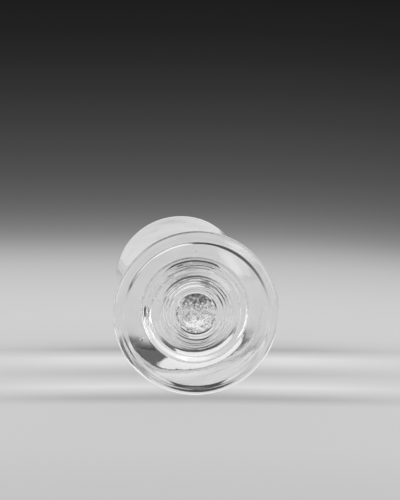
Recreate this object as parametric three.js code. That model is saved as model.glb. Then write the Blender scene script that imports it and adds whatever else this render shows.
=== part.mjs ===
import * as THREE from 'three';

// A hand-blown dram glass of clear glass, standing on its foot.
// Millimetres, +Z up along the glass, origin at the middle of the foot on the surface it stands on.
// Each piece is one gather of glass, and the pieces are fused to each other along flat round seams.

// Foot, from its rim inwards: the rim is folded under, the skirt rises to a low solid dome.
const footDiameter = 62;
const foldWidth = 4.35;
const foldStep = 0.92;
const foldBulge = 1.6;
const foldDrift = 0.73;
const foldDriftAngle = 297.5;
const lipWidth = 0.8;
const lipRound = 0.25;
const restInset = 1.25;
const restWidth = 0.9;
const restPull = 0.5;
const bulgePull = 0.35;
const edgeHeight = 2.55;
const edgeWidth = 0.4;
const skirtInset = 2.9;
const skirtSpring = 0.72;
const kickHeight = 2.5;
const kickRadius = 9;
const undersideBow = 0.3;
const domeSideRadius = 20.8;
const domeSideHeight = 7;
const domeTopRadius = 13.3;
const domeHeight = 12.6;
const domeSpring = 0.38;
const domeShoulder = 0.35;

// Stem: short and solid, spread where it stands on the dome, then almost straight.
const stemHeight = 23.3;
const stemFootRadius = 8.8;
const stemWaistRadius = 7.4;
const stemBowlRadius = 7.6;
const footToStem = 0.6;

// Bowl: rounded at the bottom, nearly straight above, a little wider at the rim.
const bowlHeight = 53.5;
const rimDiameter = 54.8;
const rimThickness = 1.2;
const bellyRadius = 22.2;
const bellyHeight = 13.5;
const bellyThickness = 2.2;
const floorThickness = 2.8;
const underBowlReach = 0.5;
const wallDrop = 0.6;
const floorReach = 0.4;

// Scar: what the pontil iron left in the middle of the foot's underside.
const scarRadius = 7.4;
const scarDepth = 1.6;
const scarHollow = 0.8;
const scarLip = 0.7;

// Facets around the glass, and points along each curved stretch of an outline.
const facetsAround = 64;
const pointsPerCurve = 6;

const footRadius = footDiameter / 2;
const foldInner = footRadius - foldWidth;
const footTop = domeHeight + footToStem;
const bowlBase = footTop + stemHeight;
const rimRadius = rimDiameter / 2;
const rimHeight = bowlBase + bowlHeight;

const clearGlass = { color: 0xe9edee, roughness: 0.04, metalness: 0 };

// Turns an outline of radius and height about the glass's axis.
function turned(outline) {
  const geometry = new THREE.LatheGeometry(outline.getPoints(pointsPerCurve), facetsAround);
  geometry.rotateX(Math.PI / 2);
  return geometry;
}

function piece(name, geometry) {
  const mesh = new THREE.Mesh(geometry, new THREE.MeshStandardMaterial(clearGlass));
  mesh.name = name;
  return mesh;
}

// The rim was turned under by hand: the fold's inner edge is round, but lies off the foot's centre.
function driftFold(geometry) {
  const angle = THREE.MathUtils.degToRad(foldDriftAngle);
  const drift = new THREE.Vector2(Math.cos(angle), Math.sin(angle)).multiplyScalar(foldDrift);
  const position = geometry.attributes.position;
  for (let i = 0; i < position.count; i += 1) {
    const radius = Math.hypot(position.getX(i), position.getY(i));
    const share = Math.max(0, 1 - Math.abs(radius - foldInner) / foldWidth);
    if (position.getZ(i) < foldBulge) {
      position.setX(i, position.getX(i) + drift.x * share);
      position.setY(i, position.getY(i) + drift.y * share);
    }
  }
  return geometry;
}

// The underside from the middle outwards: kick, bowed skirt, the fold's lip, and the ring it rests on.
function drawUnderside(outline) {
  const lipRadius = foldInner + lipWidth;
  const lipSlope = (foldStep - lipRound) / lipWidth;
  const restInner = foldInner + restInset;
  outline.moveTo(0, kickHeight);
  outline.lineTo(scarRadius, kickHeight);
  outline.lineTo(kickRadius, kickHeight);
  outline.quadraticCurveTo(
    (kickRadius + foldInner) / 2, (kickHeight + foldStep) / 2 + undersideBow,
    foldInner, foldStep,
  );
  outline.lineTo(lipRadius, lipRound);
  outline.quadraticCurveTo(lipRadius + lipRound / lipSlope, 0, restInner, 0);
  outline.lineTo(restInner + restWidth, 0);
}

// The top from the rounded edge inwards: skirt, dome, and the seam that the stem stands on.
function drawTop(outline) {
  const edgeRadius = footRadius - edgeWidth;
  const skirtRadius = footRadius - skirtInset;
  const domeWidth = domeSideRadius - domeTopRadius;
  const domeRise = domeHeight - domeSideHeight;
  outline.quadraticCurveTo(footRadius, edgeHeight, edgeRadius, edgeHeight);
  outline.quadraticCurveTo(
    (edgeRadius + skirtRadius) / 2, edgeHeight,
    skirtRadius, edgeHeight + skirtSpring,
  );
  outline.lineTo(domeSideRadius, domeSideHeight);
  outline.bezierCurveTo(
    domeSideRadius - domeWidth * domeSpring, domeSideHeight + domeRise * domeSpring,
    domeSideRadius - domeWidth * domeShoulder, domeHeight,
    domeTopRadius, domeHeight,
  );
  outline.lineTo(stemFootRadius + footToStem, domeHeight);
  outline.quadraticCurveTo(stemFootRadius, domeHeight, stemFootRadius, footTop);
  outline.lineTo(0, footTop);
}

function foot() {
  const restOuter = foldInner + restInset + restWidth;
  const outline = new THREE.Path();
  drawUnderside(outline);
  outline.bezierCurveTo(
    restOuter + (footRadius - restOuter) * restPull, 0,
    footRadius, foldBulge * bulgePull,
    footRadius, foldBulge,
  );
  drawTop(outline);
  return piece('foot', driftFold(turned(outline)));
}

function stem() {
  const waist = footTop + stemHeight / 2;
  const outline = new THREE.Path();
  outline.moveTo(0, footTop);
  outline.lineTo(stemFootRadius, footTop);
  outline.quadraticCurveTo(stemWaistRadius, (footTop + waist) / 2, stemWaistRadius, waist);
  outline.quadraticCurveTo(stemWaistRadius, (waist + bowlBase) / 2, stemBowlRadius, bowlBase);
  outline.lineTo(0, bowlBase);
  return piece('stem', turned(outline));
}

function bowl() {
  const belly = bowlBase + bellyHeight;
  const bowlFloor = bowlBase + floorThickness;
  const innerBelly = bellyRadius - bellyThickness;
  const lip = rimThickness / 2;
  const lean = (rimRadius - bellyRadius) / (rimHeight - belly);
  const innerLean = (rimRadius - rimThickness - innerBelly) / (rimHeight - belly);
  const drop = bellyHeight * wallDrop;
  const innerDrop = (belly - bowlFloor) * wallDrop;
  const outline = new THREE.Path();
  outline.moveTo(0, bowlBase);
  outline.lineTo(stemBowlRadius, bowlBase);
  outline.bezierCurveTo(
    stemBowlRadius + (bellyRadius - stemBowlRadius) * underBowlReach, bowlBase,
    bellyRadius - lean * drop, belly - drop,
    bellyRadius, belly,
  );
  outline.lineTo(rimRadius, rimHeight - lip);
  outline.absarc(rimRadius - lip, rimHeight - lip, lip, 0, Math.PI, false);
  outline.lineTo(innerBelly, belly);
  outline.bezierCurveTo(
    innerBelly - innerLean * innerDrop, belly - innerDrop,
    innerBelly * floorReach, bowlFloor,
    0, bowlFloor,
  );
  return piece('bowl', turned(outline));
}

function pontilScar() {
  const scarBottom = kickHeight - scarDepth;
  const lipRadius = scarRadius * scarLip;
  const outline = new THREE.Path();
  outline.moveTo(0, scarBottom + scarHollow);
  outline.quadraticCurveTo(lipRadius / 2, scarBottom + scarHollow, lipRadius, scarBottom);
  outline.quadraticCurveTo(scarRadius, scarBottom, scarRadius, kickHeight);
  outline.lineTo(0, kickHeight);
  return piece('pontil_scar', turned(outline));
}

const glass = new THREE.Group();
glass.add(foot(), stem(), bowl(), pontilScar());

export default glass;
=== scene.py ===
# %% [markdown]
# # A hand-blown dram glass
#
# A dram glass is a small, heavy drinking glass. This one was made without a mould: a bowl was
# blown, a short stem was drawn onto it, a foot was pressed out of a third gather, and its rim was
# folded under to make it strong. It lies on its side, so the camera looks at the foot from below,
# and everything else is seen through it.
#
# Glass has no colour of its own to paint. What the eye reads is how its surfaces bend the light,
# so most of this lesson is about getting the thicknesses and curves right.

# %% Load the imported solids
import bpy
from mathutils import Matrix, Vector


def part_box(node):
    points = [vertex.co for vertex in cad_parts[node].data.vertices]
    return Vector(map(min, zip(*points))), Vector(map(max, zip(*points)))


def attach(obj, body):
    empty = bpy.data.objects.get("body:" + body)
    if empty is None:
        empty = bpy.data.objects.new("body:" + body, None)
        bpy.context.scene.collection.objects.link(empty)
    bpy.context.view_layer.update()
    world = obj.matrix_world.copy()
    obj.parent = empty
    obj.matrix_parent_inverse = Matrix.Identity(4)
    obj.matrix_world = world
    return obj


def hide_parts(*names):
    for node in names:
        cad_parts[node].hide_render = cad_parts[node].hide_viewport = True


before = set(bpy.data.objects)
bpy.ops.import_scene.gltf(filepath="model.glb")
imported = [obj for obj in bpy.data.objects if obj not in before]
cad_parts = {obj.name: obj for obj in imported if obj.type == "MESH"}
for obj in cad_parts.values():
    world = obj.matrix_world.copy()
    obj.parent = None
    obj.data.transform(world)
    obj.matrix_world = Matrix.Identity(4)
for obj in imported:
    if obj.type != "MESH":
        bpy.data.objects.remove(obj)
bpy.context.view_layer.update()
print("solids:", sorted(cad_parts))

# %% [markdown]
# ## Sizes
#
# The solids already say how wide and how tall each piece is, so those sizes are read from them.
# The rest are the maker's own sizes, in millimetres, the same as in the solids: how wide the fold
# is, how high the dome of the foot stands, how thick the wall of the bowl is.

# %% Read the sizes of the solids
import math
import bpy
from mathutils import Matrix, Vector

MM = 0.001


def size_of(node):
    """Half the width, the lowest point and the highest point of a solid, in millimetres."""
    low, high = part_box(node)
    return (high.x - low.x) / 2 / MM, low.z / MM, high.z / MM


foot_radius, _, foot_top = size_of("foot")
_, stem_bottom, stem_top = size_of("stem")
rim_radius, bowl_base, rim_height = size_of("bowl")
scar_radius, scar_bottom, kick_height = size_of("pontil_scar")
print(f"foot {foot_radius:.1f}, stem {stem_bottom:.1f} to {stem_top:.1f}")
print(f"rim {rim_radius:.1f} at {rim_height:.1f}, scar {scar_radius:.1f}")

# %% Name the maker's sizes
fold_width = 4.35
fold_step = 0.92
fold_bulge = 1.6
fold_drift = 0.73
fold_drift_angle = math.radians(297.5)
lip_width = 0.8
lip_round = 0.25
rest_inset = 1.25
rest_width = 0.9
rest_pull = 0.5
bulge_pull = 0.35
edge_height = 2.55
edge_width = 0.4
skirt_inset = 2.9
skirt_spring = 0.72
kick_radius = 9
underside_bow = 0.3
dome_side_radius = 20.8
dome_side_height = 7
dome_top_radius = 13.3
dome_height = 12.6
dome_spring = 0.38
dome_shoulder = 0.35
foot_to_stem = 0.6
stem_foot_radius = 8.8
stem_waist_radius = 7.4
stem_bowl_radius = 7.6
rim_thickness = 1.2
belly_radius = 22.2
belly_height = 13.5
belly_thickness = 2.2
floor_thickness = 2.8
under_bowl_reach = 0.5
wall_drop = 0.6
floor_reach = 0.4
scar_hollow = 0.8
scar_lip = 0.7
fold_inner = foot_radius - fold_width
print(f"the fold's inner edge is {fold_inner:.1f} mm from the middle")

# %% [markdown]
# ## Turning an outline
#
# Everything here was turned on the end of an iron, so every piece is a surface of revolution. One
# could stack circles, or carve a cylinder, but the plain way is the maker's: draw half of the
# section and spin it. The outline starts as a single vertex (a plane merged to its middle), grows
# one extruded vertex at a time, and is then spun a full turn.

# %% Draw curves of an outline
def bend(start, pull, end, steps=10):
    """Points after start, on a curve that leaves towards pull and arrives from it."""
    made = []
    for k in range(1, steps + 1):
        t, u = k / steps, 1 - k / steps
        made.append(tuple(u * u * a + 2 * t * u * b + t * t * c for a, b, c in zip(start, pull, end)))
    return made


def sweep(start, pull_a, pull_b, end, steps=16):
    """The same with two pulls, for a curve that turns twice or more slowly."""
    made = []
    for k in range(1, steps + 1):
        t, u = k / steps, 1 - k / steps
        made.append(tuple(
            u ** 3 * a + 3 * t * u * u * b + 3 * t * t * u * c + t ** 3 * d
            for a, b, c, d in zip(start, pull_a, pull_b, end)
        ))
    return made


def line(start, end, steps=4):
    """Points after start, on a straight line."""
    return [tuple(a + (b - a) * k / steps for a, b in zip(start, end)) for k in range(1, steps + 1)]


def ease(value, start, end):
    """0 before start and 1 after end, smoothly between, for start below or above end."""
    t = max(0, min(1, (value - start) / (end - start)))
    return t * t * (3 - 2 * t)


print("halfway round a bend:", bend((0, 0), (1, 0), (1, 1), steps=2)[0])

# %% Spin an outline into a piece
SPIN_STEPS = 256
MERGE_DISTANCE = 0.002
CLOSEST_POINTS = 0.004


def spin_piece(name, outline, steps=SPIN_STEPS):
    """A closed piece from half its section: (radius, height) points from the axis back to the axis."""
    bpy.ops.object.select_all(action="DESELECT")
    radius, height = outline[0]
    bpy.ops.mesh.primitive_plane_add(size=MM, location=(0, 0, 0))
    piece = bpy.context.object
    piece.name = name
    bpy.ops.object.mode_set(mode="EDIT")
    bpy.ops.mesh.merge(type="CENTER")
    bpy.ops.transform.translate(value=(radius * MM, 0, height * MM))
    for (r0, z0), (r1, z1) in zip(outline, outline[1:]):
        step = ((r1 - r0) * MM, 0, (z1 - z0) * MM)
        bpy.ops.mesh.extrude_vertices_move(TRANSFORM_OT_translate={"value": step})
    bpy.ops.mesh.select_all(action="SELECT")
    bpy.ops.mesh.spin(steps=steps, angle=2 * math.pi, center=(0, 0, 0), axis=(0, 0, 1))
    bpy.ops.mesh.select_all(action="SELECT")
    bpy.ops.mesh.remove_doubles(threshold=MERGE_DISTANCE * MM)
    bpy.ops.mesh.normals_make_consistent(inside=False)
    bpy.ops.object.mode_set(mode="OBJECT")
    return piece


def corners(points):
    """The outline without points that lie on top of each other."""
    kept = [points[0]]
    for p in points[1:]:
        if math.dist(p, kept[-1]) > CLOSEST_POINTS:
            kept.append(p)
    return kept


print("a full turn takes", SPIN_STEPS, "steps")

# %% [markdown]
# ## The foot
#
# Seen in section, the foot is a folded rim, a skirt and a low solid dome that the stem stands on.
# The underside is nearly flat, so the glass is a wedge: it is this wedge that throws the bright
# and dark rings. The fold is a second layer under the rim, with a sloping lip on its inner edge,
# and that slope is the dark line that runs round the foot. Round the scar the pressing tool left a
# bead and some ripples. They bend the light as the real ones do only if they are real shape, so
# they are drawn into the outline instead of into the material.

# %% Spin the foot
TOOL_MARK_DEPTH = 0.17
TOOL_MARK_PITCH = 1.35
TOOL_MARK_WANDER = 1.3
TOOL_MARK_START, TOOL_MARK_FULL = 0.6, 2
TOOL_MARK_END, TOOL_MARK_FADE = 19, 6
TOOL_MARK_STEPS = 110
BEAD_START = 0.05
BEAD_WIDTH = 1.5
BEAD_DEPTH = 0.5
rest_inner = fold_inner + rest_inset
rest_outer = rest_inner + rest_width
lip_radius = fold_inner + lip_width


def tool_mark(radius):
    """How far the underside is raised at a radius by the tool's ripples, less the bead that hangs down."""
    fade = ease(radius, scar_radius + TOOL_MARK_START, scar_radius + TOOL_MARK_FULL)
    fade *= ease(radius, TOOL_MARK_END, TOOL_MARK_END - TOOL_MARK_FADE)
    wave = math.sin(radius * 2 * math.pi / TOOL_MARK_PITCH + TOOL_MARK_WANDER * math.sin(radius))
    crest = scar_radius + BEAD_WIDTH / 2
    bead = ease(radius, scar_radius + BEAD_START, crest) * ease(radius, scar_radius + BEAD_WIDTH, crest)
    return TOOL_MARK_DEPTH * fade * wave - BEAD_DEPTH * bead


def foot_outline():
    """Half the foot's section, from the middle of the underside to the middle of the stem's seam."""
    fold_lip = (fold_inner, fold_step)
    lip_slope = (fold_step - lip_round) / lip_width
    edge = (foot_radius - edge_width, edge_height)
    skirt_start = (foot_radius - skirt_inset, edge_height + skirt_spring)
    skirt_edge = (dome_side_radius, dome_side_height)
    dome_width = dome_side_radius - dome_top_radius
    dome_rise = dome_height - dome_side_height
    middle = ((kick_radius + fold_inner) / 2, (kick_height + fold_step) / 2 + underside_bow)
    spring = (dome_side_radius - dome_width * dome_spring, dome_side_height + dome_rise * dome_spring)
    shoulder = (dome_side_radius - dome_width * dome_shoulder, dome_height)
    points = [(0, kick_height)]
    points += line(points[-1], (scar_radius, kick_height), steps=6)
    points += line(points[-1], (kick_radius, kick_height), steps=12)
    points += bend(points[-1], middle, fold_lip, TOOL_MARK_STEPS)
    points = [(r, z + tool_mark(r)) for r, z in points]
    points += line(fold_lip, (lip_radius, lip_round))
    points += bend(points[-1], (lip_radius + lip_round / lip_slope, 0), (rest_inner, 0), steps=8)
    points += line(points[-1], (rest_outer, 0))
    points += sweep(points[-1], (rest_outer + (foot_radius - rest_outer) * rest_pull, 0),
                    (foot_radius, fold_bulge * bulge_pull), (foot_radius, fold_bulge))
    points += bend(points[-1], (foot_radius, edge_height), edge)
    points += bend(edge, ((edge[0] + skirt_start[0]) / 2, edge_height), skirt_start, steps=20)
    points += line(points[-1], skirt_edge, steps=16)
    points += sweep(skirt_edge, spring, shoulder, (dome_top_radius, dome_height), steps=20)
    points += line(points[-1], (stem_foot_radius + foot_to_stem, dome_height), steps=8)
    points += bend(points[-1], (stem_foot_radius, dome_height), (stem_foot_radius, foot_top))
    points += line(points[-1], (0, foot_top), steps=6)
    return corners(points)


foot = spin_piece("foot_glass", foot_outline())
print("foot:", len(foot.data.polygons), "faces")

# %% Spin the stem
def stem_outline():
    """Half the stem's section, between its two seams."""
    waist = (stem_bottom + stem_top) / 2
    low_pull = (stem_waist_radius, (stem_bottom + waist) / 2)
    high_pull = (stem_waist_radius, (waist + stem_top) / 2)
    points = [(0, stem_bottom)]
    points += line(points[-1], (stem_foot_radius, stem_bottom), steps=6)
    points += bend(points[-1], low_pull, (stem_waist_radius, waist), steps=20)
    points += bend(points[-1], high_pull, (stem_bowl_radius, stem_top), steps=20)
    points += line(points[-1], (0, stem_top), steps=6)
    return corners(points)


stem = spin_piece("stem_glass", stem_outline())
print("stem:", len(stem.data.polygons), "faces")

# %% Spin the bowl
RIM_STEPS = 12


def bowl_outline():
    """Half the bowl's section: up the outside, over the lip, and down the inside."""
    belly = bowl_base + belly_height
    bowl_floor = bowl_base + floor_thickness
    inner_belly = belly_radius - belly_thickness
    lip = rim_thickness / 2
    lean = (rim_radius - belly_radius) / (rim_height - belly)
    inner_lean = (rim_radius - rim_thickness - inner_belly) / (rim_height - belly)
    drop = belly_height * wall_drop
    inner_drop = (belly - bowl_floor) * wall_drop
    under = (stem_bowl_radius + (belly_radius - stem_bowl_radius) * under_bowl_reach, bowl_base)
    points = [(0, bowl_base)]
    side = (belly_radius - lean * drop, belly - drop)
    points += line(points[-1], (stem_bowl_radius, bowl_base), steps=6)
    points += sweep(points[-1], under, side, (belly_radius, belly), steps=32)
    points += line(points[-1], (rim_radius, rim_height - lip), steps=24)
    for k in range(1, RIM_STEPS + 1):
        turn = math.pi * k / RIM_STEPS
        points.append((rim_radius - lip + lip * math.cos(turn), rim_height - lip + lip * math.sin(turn)))
    points += line(points[-1], (inner_belly, belly), steps=24)
    points += sweep(points[-1], (inner_belly - inner_lean * inner_drop, belly - inner_drop),
                    (inner_belly * floor_reach, bowl_floor), (0, bowl_floor), steps=32)
    return corners(points)


bowl = spin_piece("bowl_glass", bowl_outline())
print("bowl:", len(bowl.data.polygons), "faces")

# %% Spin the scar
SCAR_SPIN_STEPS = 192


def scar_outline():
    """Half the scar's section: a broken face with a raised lip, up to the seam with the foot."""
    raised = scar_radius * scar_lip
    top_of_hollow = scar_bottom + scar_hollow
    points = [(0, top_of_hollow)]
    points += bend(points[-1], (raised / 2, top_of_hollow), (raised, scar_bottom), steps=40)
    points += bend(points[-1], (scar_radius, scar_bottom), (scar_radius, kick_height), steps=30)
    points += line(points[-1], (0, kick_height), steps=8)
    return corners(points)


scar = spin_piece("pontil_scar_glass", scar_outline(), SCAR_SPIN_STEPS)
print("scar:", len(scar.data.polygons), "faces")

# %% [markdown]
# ## The hand in it
#
# Nothing blown by hand is quite round. The fold was turned under with a tool, so its lip is
# steeper in some places than in others and lies a little off the middle, and every surface wavers
# slightly. Each of those is a Displace modifier that is held back by a vertex group: full strength
# in the middle of a surface, none at the seams and at the outermost edges, so that the pieces
# still meet and the sizes stay true.

# %% Move surfaces by weight
def weigh(piece, share):
    """A vertex group whose weight is share(radius, height, angle), in millimetres and degrees."""
    group = piece.vertex_groups.new(name="share")
    for vertex in piece.data.vertices:
        place = vertex.co / MM
        angle = math.degrees(math.atan2(place.y, place.x))
        weight = share(math.hypot(place.x, place.y), place.z, angle)
        if weight > 0:
            group.add([vertex.index], min(1, weight), "REPLACE")


def shift(piece, direction, distance, share=None, grain=None, middle=0.5):
    """Displaces a piece by distance (mm) along direction, evenly or in waves grain millimetres long."""
    bpy.ops.object.select_all(action="DESELECT")
    piece.select_set(True)
    bpy.context.view_layer.objects.active = piece
    modifier = piece.modifiers.new("shift", "DISPLACE")
    modifier.direction = direction
    modifier.strength = distance * MM
    modifier.mid_level = 0
    if grain:
        waves = bpy.data.textures.new("waves", "CLOUDS")
        waves.noise_scale = grain * MM
        waves.noise_depth = 2
        modifier.texture = waves
        modifier.texture_coords = "LOCAL"
        modifier.mid_level = middle
    if share:
        weigh(piece, share)
        modifier.vertex_group = "share"
    bpy.ops.object.modifier_apply(modifier=modifier.name)
    if share:
        piece.vertex_groups.clear()


print("pieces to move:", [piece.name for piece in (foot, stem, bowl, scar)])

# %% Raise the lip here and there
LIP_REACH = 6
LIP_FADE = 12
# The middle and half the width of each rise, in degrees round the foot, and its height.
LIP_RISES = [(4, 21, 0.22), (260, 23, 0.22), (97, 32, 0.26)]


def along_lip(middle, half):
    """A share that is 1 at the fold's inner edge, for half degrees on each side of middle."""
    def share(radius, height, angle):
        away = abs((angle - middle + 180) % 360 - 180)
        across = ease(radius, lip_radius, fold_inner) * ease(radius, fold_inner - LIP_REACH, fold_inner)
        return across * ease(away, half + LIP_FADE, half - LIP_FADE) if height < fold_bulge else 0
    return share


for middle, half, rise in LIP_RISES:
    shift(foot, "Z", rise, along_lip(middle, half))
print("the lip rises at", [middle for middle, _, _ in LIP_RISES], "degrees")

# %% Set the fold off the middle
def near_fold(radius, height, angle):
    """1 at the fold's inner edge and less on both sides of it, on the underside only."""
    return max(0, 1 - abs(radius - fold_inner) / fold_width) if height < fold_bulge else 0


shift(foot, "X", fold_drift * math.cos(fold_drift_angle), near_fold)
shift(foot, "Y", fold_drift * math.sin(fold_drift_angle), near_fold)
print("the fold drifts by", fold_drift, "mm")

# %% Choose where the surfaces waver
SEAM_FADE = 3
FOLD_STILL, FOLD_WAVERS = 1, 2.4
RIM_STILL, RIM_FADE = 1, 12
SCAR_EDGE_FADE = 0.7
SCAR_SEAM_STILL = 0.05


def over_foot(radius, height, angle):
    """The skirt and the dome, but neither the seams, the fold's lip nor the widest line."""
    clear_of_seam = ease(radius, stem_foot_radius, stem_foot_radius + SEAM_FADE)
    return clear_of_seam * ease(radius, foot_radius, fold_inner) * ease(height, FOLD_STILL, FOLD_WAVERS)


def over_bowl(radius, height, angle):
    """All of the bowl but its seam and its rim."""
    clear_of_seam = ease(height, bowl_base, bowl_base + SEAM_FADE)
    return clear_of_seam * ease(height, rim_height - RIM_STILL, rim_height - RIM_FADE)


def over_scar(radius, height, angle):
    """The broken face, but not the seam above it nor its edge."""
    inside = ease(radius, scar_radius, scar_radius - SCAR_EDGE_FADE)
    return inside if height < kick_height - SCAR_SEAM_STILL else 0


print("foot and bowl waver in full", SEAM_FADE, "mm off their seams")

# %% Let the surfaces waver
# Piece, direction, distance, where, grain, and the level of the waves that stays in place.
WAVERS = [(foot, "NORMAL", 0.1, over_foot, 14, 0.5), (foot, "NORMAL", 0.01, over_foot, 3, 0.5),
          (bowl, "NORMAL", 0.16, over_bowl, 14, 0.5), (scar, "Z", 0.75, over_scar, 2.2, 0.3),
          (scar, "NORMAL", 0.2, over_scar, 0.8, 0.5)]
for waver in WAVERS:
    shift(*waver)
scar_heights = [vertex.co.z / MM for vertex in scar.data.vertices]
print(f"the scar lies between {min(scar_heights):.2f} and {max(scar_heights):.2f} mm")

# %% Trap seeds of air in the foot
# The middle of each seed and its half axes.
SEEDS = [((21.1, 7.7, 3.0), (0.9, 0.5, 0.45)), ((-16.4, 16.4, 3.2), (0.3, 0.2, 0.2)),
         ((4.1, -18.6, 4.1), (0.22, 0.16, 0.15)), ((-14.2, -8.9, 4.6), (0.18, 0.14, 0.14)),
         ((9.4, 12.1, 5.2), (0.16, 0.13, 0.12))]


def trap_seed(place, size):
    """A drawn-out bubble in the foot's mesh: a sphere, stretched along the radius and turned inside out."""
    bpy.ops.object.select_all(action="DESELECT")
    bpy.ops.mesh.primitive_ico_sphere_add(subdivisions=3, radius=MM, location=(0, 0, 0))
    bpy.ops.object.mode_set(mode="EDIT")
    bpy.ops.mesh.select_all(action="SELECT")
    bpy.ops.transform.resize(value=size)
    turn = -math.atan2(place[1], place[0])
    bpy.ops.transform.rotate(value=turn, orient_axis="Z", center_override=(0, 0, 0))
    bpy.ops.transform.translate(value=[c * MM for c in place])
    bpy.ops.mesh.flip_normals()
    bpy.ops.object.mode_set(mode="OBJECT")
    foot.select_set(True)
    bpy.context.view_layer.objects.active = foot
    bpy.ops.object.join()


for place, size in SEEDS:
    trap_seed(place, size)
print("foot with", len(SEEDS), "seeds:", len(foot.data.polygons), "faces")

# %% [markdown]
# ## Fusing the pieces
#
# The gathers were hot when they met, so inside the real glass there is no surface between foot,
# stem and bowl. The pieces here are separate and meet face to face. If both faces were glass, light
# would bend and mirror at a joint that isn't there, so the faces of each seam get a material that
# is wholly see-through. Leaving the faces out would do the same, but then no piece would be closed.

# %% Mix the glass
GLASS_IOR = 1.52


def glass_material(name):
    """Glass that is clear and smooth; what has marked its surface comes further down."""
    material = bpy.data.materials.new(name)
    material.use_nodes = True
    shader = material.node_tree.nodes["Principled BSDF"]
    shader.inputs["Transmission Weight"].default_value = 1
    shader.inputs["Roughness"].default_value = 0
    shader.inputs["IOR"].default_value = GLASS_IOR
    return material


clear_glass = glass_material("clear_glass")
broken_glass = glass_material("broken_glass")
fused_seam = bpy.data.materials.new("fused_seam")
fused_seam.use_nodes = True
fused_seam.node_tree.nodes["Principled BSDF"].inputs["Alpha"].default_value = 0
print("materials:", clear_glass.name, broken_glass.name, fused_seam.name)

# %% Fuse the seams
SEAM_TOLERANCE = 0.01
LEVEL_NORMAL = 0.99
SMOOTH_ANGLE = math.radians(35)


def fuse(piece, glass, *seams):
    """Gives a piece its glass, and the flat faces at each (height, radius) seam the seam's material."""
    piece.data.materials.append(glass)
    piece.data.materials.append(fused_seam)
    for face in piece.data.polygons:
        centre = face.center / MM
        radius = math.hypot(centre.x, centre.y)
        for height, reach in seams:
            at_seam = abs(centre.z - height) < SEAM_TOLERANCE and radius < reach
            if at_seam and abs(face.normal.z) > LEVEL_NORMAL:
                face.material_index = 1


fuse(foot, clear_glass, (kick_height, scar_radius), (foot_top, stem_foot_radius))
fuse(stem, clear_glass, (stem_bottom, stem_foot_radius), (stem_top, stem_bowl_radius))
fuse(bowl, clear_glass, (bowl_base, stem_bowl_radius))
fuse(scar, broken_glass, (kick_height, scar_radius))

for piece, node, slot in ((foot, "foot", "clear_glass"), (stem, "stem", "clear_glass"),
                          (bowl, "bowl", "clear_glass"), (scar, "pontil_scar", "broken_glass")):
    bpy.ops.object.select_all(action="DESELECT")
    piece.select_set(True)
    bpy.context.view_layer.objects.active = piece
    bpy.ops.object.shade_smooth_by_angle(angle=SMOOTH_ANGLE)
    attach(piece, "root")
    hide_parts(node)
    print(piece.name, "has", sum(face.material_index for face in piece.data.polygons), "faces at seams")

# %% [markdown]
# ## The camera
#
# The glass lies on its side, but it is modelled upright. Laying it down would move its axes, so it
# stays upright and the camera and the table are turned instead. Over the table, the camera stands
# camera_height up and looks down by camera_pitch. The foot's edge touches the table
# camera_distance away. The glass is turned by camera_yaw, and it tips by glass_tilt because the rim
# is narrower than the foot.

# %% Turn the table's directions into the glass's
foot_edge_height = 2
camera_distance = 696
camera_height = 167.1
camera_pitch = math.radians(9.16)
camera_side = 1.43
camera_yaw = math.radians(4.43)
glass_tilt = math.radians(2.24)

lie = Vector((-math.sin(camera_yaw) * math.cos(glass_tilt), math.cos(camera_yaw) * math.cos(glass_tilt),
              -math.sin(glass_tilt)))
table_up = Vector((0, 0, 1))
table_ahead = Vector((0, 1, 0))
table_right = Vector((1, 0, 0))
foot_middle = Vector((0, camera_distance, foot_radius * math.cos(glass_tilt)))
down_lie = (lie * table_up.dot(lie) - table_up).normalized()
side_lie = lie.cross(down_lie)
down_row = Vector((1, -1, 0)).normalized()
side_row = Vector((1, 1, 0)).normalized()
axis_row = Vector((0, 0, 1))


def turn_to_glass(direction):
    """A direction over the table, in the axes of the glass."""
    down, side, axis = direction.dot(down_lie), direction.dot(side_lie), direction.dot(lie)
    return down_row * down + side_row * side + axis_row * axis


def place_by_glass(point):
    """A point over the table in millimetres, in the frame of the glass in metres."""
    return (turn_to_glass(Vector(point) - foot_middle) + Vector((0, 0, foot_edge_height))) * MM


print("the glass lies along", [round(v, 3) for v in lie])

# %% Place the camera
LONG_SIDE_PIXELS = 500
FOCAL_PIXELS = 1900
SENSOR_WIDTH = 36
camera = bpy.data.objects.new("camera", bpy.data.cameras.new("camera"))
bpy.context.scene.collection.objects.link(camera)
look = turn_to_glass(Vector((0, math.cos(camera_pitch), -math.sin(camera_pitch))))
camera.location = place_by_glass((camera_side, 0, camera_height))
up = turn_to_glass(Vector((0, math.sin(camera_pitch), math.cos(camera_pitch))))
right = look.cross(up)
camera.rotation_mode = "QUATERNION"
camera.rotation_quaternion = Matrix((right, up, -look)).transposed().to_quaternion()
camera.data.sensor_width = SENSOR_WIDTH
camera.data.lens = FOCAL_PIXELS / LONG_SIDE_PIXELS * SENSOR_WIDTH
camera.data.clip_start = 0.01
bpy.context.scene.camera = camera
print("camera at", [round(v, 3) for v in camera.location])

# %% [markdown]
# ## The table and the studio
#
# The table is a long sheet of paper with a pool of light painted on it, pale under the glass and dark
# further back. It is a plane that touches the edge of the foot and the rim of the bowl. Its painted
# light comes from a colour ramp along the distance, so the light on the glass stays plain. Seen from
# behind it is clear, so that a camera on its far side still sees the glass.

# %% Place the table
TABLE_REACH = 3000
TABLE_FRONT = 1200


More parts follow.
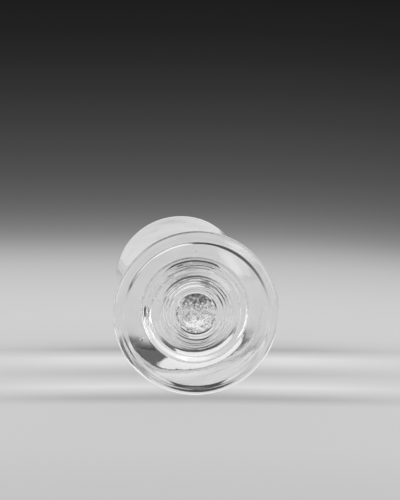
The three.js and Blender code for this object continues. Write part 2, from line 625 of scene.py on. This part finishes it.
def stage_quad(name, corners_over_table):
    """A flat piece of the studio, from four corners given over the table in millimetres."""
    bpy.ops.object.select_all(action="DESELECT")
    bpy.ops.mesh.primitive_plane_add(size=2, location=(0, 0, 0))
    sheet = bpy.context.object
    sheet.name = name
    for vertex in sheet.data.vertices:
        share_x, share_y = (vertex.co.x + 1) / 2, (vertex.co.y + 1) / 2
        low = Vector(corners_over_table[0]).lerp(Vector(corners_over_table[1]), share_x)
        high = Vector(corners_over_table[3]).lerp(Vector(corners_over_table[2]), share_x)
        vertex.co = place_by_glass(low.lerp(high, share_y))
    return sheet


table = stage_quad("table", [(-TABLE_REACH, -TABLE_FRONT, 0), (TABLE_REACH, -TABLE_FRONT, 0),
                             (TABLE_REACH, 2 * TABLE_REACH, 0), (-TABLE_REACH, 2 * TABLE_REACH, 0)])
print("the table faces up by", round(table.data.polygons[0].normal.dot(turn_to_glass(table_up)), 3))

# %% Helpers for node materials
def link_maths(tree, operation, first, second=None):
    """A Math node on sockets or numbers, and its output."""
    node = tree.nodes.new("ShaderNodeMath")
    node.operation = operation
    for socket, value in zip(node.inputs, (first, second)):
        if isinstance(value, bpy.types.NodeSocket):
            tree.links.new(value, socket)
        elif value is not None:
            socket.default_value = value
    return node.outputs[0]


def link_along(tree, source, direction):
    """How far a position or direction reaches along a direction."""
    node = tree.nodes.new("ShaderNodeVectorMath")
    node.operation = "DOT_PRODUCT"
    node.inputs[1].default_value = direction
    tree.links.new(source, node.inputs[0])
    return node.outputs["Value"]


def link_ramp(tree, value, stops):
    """A grey ramp through (value, brightness) stops."""
    low, high = stops[0][0], stops[-1][0]
    scaled = tree.nodes.new("ShaderNodeMapRange")
    scaled.inputs["From Min"].default_value = low
    scaled.inputs["From Max"].default_value = high
    tree.links.new(value, scaled.inputs["Value"])
    ramp = tree.nodes.new("ShaderNodeValToRGB")
    tree.links.new(scaled.outputs["Result"], ramp.inputs["Fac"])
    elements = ramp.color_ramp.elements
    while len(elements) < len(stops):
        elements.new(0.5)
    for element, (at, grey) in zip(elements, stops):
        element.position = (at - low) / (high - low)
        element.color = (grey, grey, grey, 1)
    return ramp.outputs["Color"]


def link_step(tree, value, start, end, first=0, last=1):
    """A smooth change from first to last as value goes from start to end."""
    node = tree.nodes.new("ShaderNodeMapRange")
    node.interpolation_type = "SMOOTHSTEP"
    for name, number in zip(("From Min", "From Max", "To Min", "To Max"), (start, end, first, last)):
        node.inputs[name].default_value = number
    tree.links.new(value, node.inputs["Value"])
    return node.outputs["Result"]


print("node helpers:", [helper.__name__ for helper in (link_maths, link_along, link_ramp, link_step)])

# %% [markdown]
# ## The surface of the glass
#
# Clean glass is never featureless. The underside carries fine uneven rings from the tool that
# pressed it as it turned, the metal has faint streaks in it, and the ring that the glass stands on
# is scuffed from use. The scar is a rough break: ridges, small shells, a few cracks, and dark scale
# from the iron along its edge and on one side. All of it is set by place on the glass, so it stays
# put when the glass moves.

# %% Helpers for marks on glass
def link_noise(tree, place, grain, detail=3, distortion=0):
    """Soft noise between 0 and 1, in patches about grain millimetres across."""
    noise = tree.nodes.new("ShaderNodeTexNoise")
    noise.inputs["Scale"].default_value = 1 / (grain * MM)
    noise.inputs["Detail"].default_value = detail
    noise.inputs["Distortion"].default_value = distortion
    tree.links.new(place, noise.inputs["Vector"])
    return noise.outputs["Fac"]


def link_step_mm(tree, value, start, end, first=0, last=1):
    """The same as link_step, with start and end in millimetres."""
    return link_step(tree, value, start * MM, end * MM, first, last)


def link_relief(tree, height, depth):
    """Shading relief, depth millimetres deep, from a height between 0 and 1."""
    bump = tree.nodes.new("ShaderNodeBump")
    bump.inputs["Distance"].default_value = depth * MM
    tree.links.new(height, bump.inputs["Height"])
    tree.links.new(bump.outputs["Normal"], tree.nodes["Principled BSDF"].inputs["Normal"])


def link_polar(tree, place):
    """The distance of a place from the axis, and its height, in metres."""
    split = tree.nodes.new("ShaderNodeSeparateXYZ")
    tree.links.new(place, split.inputs["Vector"])
    square_x = link_maths(tree, "MULTIPLY", split.outputs["X"], split.outputs["X"])
    square_y = link_maths(tree, "MULTIPLY", split.outputs["Y"], split.outputs["Y"])
    return link_maths(tree, "SQRT", link_maths(tree, "ADD", square_x, square_y)), split.outputs["Z"]


print("mark helpers:", [helper.__name__ for helper in (link_noise, link_step_mm, link_relief, link_polar)])

# %% Mark the clear glass
RING_PITCH = 1.1
RING_RELIEF = 0.08
# At a scale of 1, the Wave node's rings turn through 20 radians a metre.
WAVE_RADIANS = 20
# The tool's rings start and end at these distances from the axis, and end at this height.
RINGS_START = (scar_radius, scar_radius + 2)
RINGS_END = (13, 20)
RINGS_TOP = (2.8, 3.2)
METAL_GRAIN, METAL_STREAKS = 5, 0.2
# The scuffs end at this height, and show where their noise is high.
SCUFF_TOP = (0.01, 0.04)
SCUFF_GRAIN, SCUFF_NOISE, SCUFF_ROUGHNESS = 0.5, (0.4, 0.65), 0.2
TINT_GRAIN, TINT_NOISE, TINT = 11, (0.3, 0.7), (0.965, 1)
tree = clear_glass.node_tree
surface = tree.nodes["Principled BSDF"]
place = tree.nodes.new("ShaderNodeTexCoord").outputs["Object"]
radius, height = link_polar(tree, place)

rings = tree.nodes.new("ShaderNodeTexWave")
rings.wave_type = "RINGS"
rings.rings_direction = "Z"
rings.inputs["Scale"].default_value = 2 * math.pi / WAVE_RADIANS / (RING_PITCH * MM)
rings.inputs["Distortion"].default_value = 3.5
rings.inputs["Detail Scale"].default_value = 0.6
tree.links.new(place, rings.inputs["Vector"])
pressed = link_maths(tree, "MULTIPLY", link_step_mm(tree, radius, *RINGS_START),
                     link_step_mm(tree, radius, *RINGS_END, 1, 0))
pressed = link_maths(tree, "MULTIPLY", pressed, link_step_mm(tree, height, *RINGS_TOP, 1, 0))
streaks = link_noise(tree, place, METAL_GRAIN, distortion=1.5)
streaks = link_maths(tree, "MULTIPLY", streaks, METAL_STREAKS)
marks = link_maths(tree, "ADD", link_maths(tree, "MULTIPLY", rings.outputs["Fac"], pressed), streaks)
link_relief(tree, marks, RING_RELIEF)

low = link_step_mm(tree, height, *SCUFF_TOP, 1, 0)
scuffs = link_step(tree, link_noise(tree, place, SCUFF_GRAIN, detail=6), *SCUFF_NOISE, 0, SCUFF_ROUGHNESS)
tree.links.new(link_maths(tree, "MULTIPLY", low, scuffs), surface.inputs["Roughness"])
tint = link_step(tree, link_noise(tree, place, TINT_GRAIN), *TINT_NOISE, *TINT)
tree.links.new(tint, surface.inputs["Base Color"])
print("clear glass:", len(tree.nodes), "nodes")

# %% Mark the broken glass
SHELL_GRAIN, SHELL_RELIEF = 2.4, 0.3
RAGGED_GRAIN, RAGGED_NOISE, RAGGED_BY = 1.3, (0.35, 0.65), 1.6
RAGGED_AT_EDGE = 0.4
# Where the dark scale starts and is full, in millimetres, and its tone.
SCALE_SIDE = (2.2, 6, 0.08)
SCALE_EDGE = (7.1, 7.6, 0.08)
CRACK_GRAIN, CRACK_WIDTH, CRACK_TONE = 3.2, 0.03, 0.1
tree = broken_glass.node_tree
surface = tree.nodes["Principled BSDF"]
place = tree.nodes.new("ShaderNodeTexCoord").outputs["Object"]
shells = link_noise(tree, place, SHELL_GRAIN, distortion=1.5)
link_relief(tree, shells, SHELL_RELIEF)
ragged = link_step(tree, link_noise(tree, place, RAGGED_GRAIN), *RAGGED_NOISE, -1, 1)
ragged = link_maths(tree, "MULTIPLY", ragged, RAGGED_BY * MM)
side = link_maths(tree, "ADD", link_along(tree, place, Vector((-1, 1, 0)).normalized()), ragged)
edge = link_maths(tree, "ADD", link_polar(tree, place)[0], link_maths(tree, "MULTIPLY", ragged, RAGGED_AT_EDGE))
start, full, tone = SCALE_SIDE
scale = link_step_mm(tree, side, start, full, 1, tone)
start, full, tone = SCALE_EDGE
scale = link_maths(tree, "MULTIPLY", scale, link_step_mm(tree, edge, start, full, 1, tone))
crack = link_maths(tree, "SUBTRACT", link_noise(tree, place, CRACK_GRAIN, distortion=2), 0.5)
crack = link_step(tree, link_maths(tree, "ABSOLUTE", crack), 0, CRACK_WIDTH, CRACK_TONE, 1)
tree.links.new(link_maths(tree, "MULTIPLY", scale, crack), surface.inputs["Base Color"])
print("broken glass:", len(tree.nodes), "nodes")

# %% [markdown]
# ## The paper
#
# The paper is palest near the glass and falls away to dark at the far end, as a pool of light painted
# into its tone. The glass gathers light into bright streaks and casts dark ones that cross the paper
# beside it, and keeps light from the paper beneath its stem. Letting the renderer find these would
# take far longer than painting them: here they are painted bands of light and shadow and a painted
# patch of shade on the paper. A pale card lies on the left, outside the picture, and only the bowl
# shows it.
# Part of the tone is given as a glow, which keeps it even under the glass.

# %% Paint light and shade on the paper
# Each painted streak's distance behind the foot in metres, and how much it brightens the paper: above 1
# it is painted light gathered by the glass, below 1 a painted shadow of the glass.
PAINTED_STREAKS = [(-0.014, 1), (-0.004, 0.82), (0, 0.86), (0.006, 1), (0.015, 1.18), (0.025, 1.05),
           (0.038, 0.92), (0.045, 0.97), (0.058, 1.15), (0.066, 1.18), (0.074, 1), (0.083, 0.8),
           (0.092, 0.92), (0.105, 1)]
STREAK_TOP = 1.25
STREAK_SLOPES = (0.08, -0.03)
# From the first distance to the side to the second, the streaks go from the first strength to the second.
STREAK_FADE = (0.03, 0.09, 1.35, 0.45)
SHADE = 0.95
# The shade under the stem starts, is full, starts to ebb and ends at these distances behind the foot.
SHADE_BACK = (0.003, 0.007, 0.04, 0.07)
# Its sides open away from the foot as a parabola does, and it fades between these two.
SHADE_SPREAD = (0.009, 0.013)
# The card's slope, how far to the side it fades in, and its tone.
CARD_SLANT = 0.14
CARD_EDGE = (-0.1, -0.14)
CARD_TONE = 0.4
# The paper's distance behind the foot in metres, and its tone there, with the pool of light painted in.
PAPER_LIGHT_POOL_TONES = [(-0.7, 0.36), (-0.13, 0.37), (-0.07, 0.4), (0.1, 0.41), (0.14, 0.42), (0.19, 0.41),
               (0.23, 0.39), (0.275, 0.355), (0.3, 0.33), (0.323, 0.29), (0.351, 0.245), (0.376, 0.195),
               (0.407, 0.155), (0.447, 0.123), (0.5, 0.095), (0.573, 0.074), (0.685, 0.056),
               (0.855, 0.043), (1.12, 0.031), (1.5, 0.022), (2.08, 0.015), (3.05, 0.0105), (5.5, 0.008)]
# The painted pool of light ends sooner on the right, and part of the tone is body colour and the rest glow.
LIGHT_POOL_SIDE = 2.5
PAPER_BODY = 0.4
PAPER_GLOW = 1.19

paper = bpy.data.materials.new("paper_with_painted_light")
paper.use_nodes = True
tree = paper.node_tree
surface = tree.nodes["Principled BSDF"]
surface.inputs["Roughness"].default_value = 1
surface.inputs["Specular IOR Level"].default_value = 0
place = tree.nodes.new("ShaderNodeTexCoord").outputs["Object"]
back = link_along(tree, place, turn_to_glass(table_ahead))
aside = link_along(tree, place, turn_to_glass(table_right))
rightward = link_maths(tree, "MAXIMUM", aside, 0)
reach = link_maths(tree, "MULTIPLY", link_maths(tree, "MULTIPLY", rightward, rightward), LIGHT_POOL_SIDE)
reach = link_maths(tree, "ADD", back, reach)
slid = link_maths(tree, "MAXIMUM", *[link_maths(tree, "MULTIPLY", aside, slope) for slope in STREAK_SLOPES])
painted_streak = link_ramp(tree, link_maths(tree, "ADD", back, slid), [(at, tone / STREAK_TOP) for at, tone in PAINTED_STREAKS])
painted_streak = link_maths(tree, "SUBTRACT", link_maths(tree, "MULTIPLY", painted_streak, STREAK_TOP), 1)
strength = link_step(tree, link_maths(tree, "ABSOLUTE", aside), *STREAK_FADE)
painted_streak = link_maths(tree, "ADD", link_maths(tree, "MULTIPLY", painted_streak, strength), 1)
start, full, ebb, end = SHADE_BACK
shade = link_step(tree, back, start, full)
shade = link_maths(tree, "MULTIPLY", shade, link_step(tree, back, ebb, end, SHADE, 0))
spread = link_maths(tree, "MULTIPLY", aside, aside)
spread = link_maths(tree, "DIVIDE", spread, link_maths(tree, "MAXIMUM", back, start))
shade = link_maths(tree, "MULTIPLY", shade, link_step(tree, spread, *SHADE_SPREAD, 1, 0))
leftward = link_maths(tree, "ADD", aside, link_maths(tree, "MULTIPLY", back, CARD_SLANT))
card = link_step(tree, leftward, *CARD_EDGE, 0, CARD_TONE)
# The pool of light, the streaks and the shade under the stem are all painted into this tone.
tone = link_maths(tree, "MAXIMUM", link_ramp(tree, reach, PAPER_LIGHT_POOL_TONES), card)
tone = link_maths(tree, "MULTIPLY", tone, painted_streak)
tone = link_maths(tree, "MULTIPLY", tone, link_maths(tree, "SUBTRACT", 1, shade))
tree.links.new(link_maths(tree, "MULTIPLY", tone, PAPER_BODY), surface.inputs["Base Color"])
tree.links.new(tone, surface.inputs["Emission Color"])
surface.inputs["Emission Strength"].default_value = PAPER_GLOW
clear = tree.nodes.new("ShaderNodeBsdfTransparent")
facing = tree.nodes.new("ShaderNodeMixShader")
tree.links.new(tree.nodes.new("ShaderNodeNewGeometry").outputs["Backfacing"], facing.inputs["Fac"])
tree.links.new(surface.outputs["BSDF"], facing.inputs[1])
tree.links.new(clear.outputs["BSDF"], facing.inputs[2])
tree.links.new(facing.outputs["Shader"], tree.nodes["Material Output"].inputs["Surface"])
table.data.materials.append(paper)
print("paper has", len(PAPER_LIGHT_POOL_TONES), "tones")

# %% [markdown]
# ## The light
#
# Clear glass shows its surroundings, so the light is a world drawn by direction and not a set of
# lamps: a pale sheet overhead that is weaker at its ends and hangs lower on the left, upright
# strips ahead, and two low ones behind the camera that draw fine bright lines along the foot's
# rounded edges. Below the sheet the room is dark, and this is what makes the dark patches in the
# skirt of the foot. A ray crosses many surfaces on its way through the glass, so it is allowed
# more turns than usual.

# %% Light the studio
# The sheet fades in between these degrees over its edge, and this is its brightness.
OVERHEAD_FROM, OVERHEAD_TO, OVERHEAD = 0.4, 2.6, 0.93
# From the first angle round the glass to the second, its edge rises and its strength falls.
OVERHEAD_SLANT = (5, 13, 0, 4.5)
OVERHEAD_ENDS = (50, 80, 1, 0.66)
# The room brightens behind the camera, and nowhere is it darker than ROOM.
BEHIND_FROM, BEHIND_TO, BEHIND = 108, 138, 0.5
ROOM = 0.09
# The middle and half the width of each strip in degrees round the glass, its top in degrees up,
# and its brightness.
SIDE_STRIPS = [(-24, 18.5, 90, 0.9), (38, 14, 90, 1.15), (-85, 28, 90, 0.6),
               (-132, 16, 22, 2.4), (128, 16, 22, 2.4)]
STRIP_CORE = 0.6
STRIP_FADE = 8
TO_DEGREES = 180 / math.pi
REFRACTIONS, MIRRORINGS = 24, 12
world = bpy.data.worlds.new("studio")
bpy.context.scene.world = world
world.use_nodes = True
tree = world.node_tree
direction = tree.nodes.new("ShaderNodeTexCoord").outputs["Generated"]
above = link_along(tree, direction, turn_to_glass(table_up))
ahead = link_along(tree, direction, turn_to_glass(table_ahead))
aside = link_along(tree, direction, turn_to_glass(table_right))
height = link_maths(tree, "MULTIPLY", link_maths(tree, "ARCSINE", above), TO_DEGREES)
around = link_maths(tree, "MULTIPLY", link_maths(tree, "ARCTAN2", aside, ahead), TO_DEGREES)
wide = link_maths(tree, "ABSOLUTE", around)
border = link_step(tree, around, *OVERHEAD_SLANT)
overhead = link_maths(tree, "SUBTRACT", height, border)
overhead = link_step(tree, overhead, OVERHEAD_FROM, OVERHEAD_TO, 0, OVERHEAD)
overhead = link_maths(tree, "MULTIPLY", overhead, link_step(tree, wide, *OVERHEAD_ENDS))
behind = link_step(tree, wide, BEHIND_FROM, BEHIND_TO, 0, BEHIND)
light = link_maths(tree, "MAXIMUM", link_maths(tree, "MAXIMUM", overhead, behind), ROOM)
for middle, width, top, brightness in SIDE_STRIPS:
    off = link_maths(tree, "ABSOLUTE", link_maths(tree, "SUBTRACT", around, middle))
    strip = link_step(tree, off, width * STRIP_CORE, width, brightness, 0)
    strip = link_maths(tree, "MULTIPLY", strip, link_step(tree, height, top, top + STRIP_FADE, 1, 0))
    light = link_maths(tree, "MAXIMUM", light, strip)
tree.links.new(light, tree.nodes["Background"].inputs["Color"])
bpy.context.scene.view_settings.view_transform = "Standard"
bpy.context.scene.cycles.max_bounces = REFRACTIONS
bpy.context.scene.cycles.transmission_bounces = REFRACTIONS
bpy.context.scene.cycles.transparent_max_bounces = REFRACTIONS
bpy.context.scene.cycles.glossy_bounces = MIRRORINGS
print("studio lit")
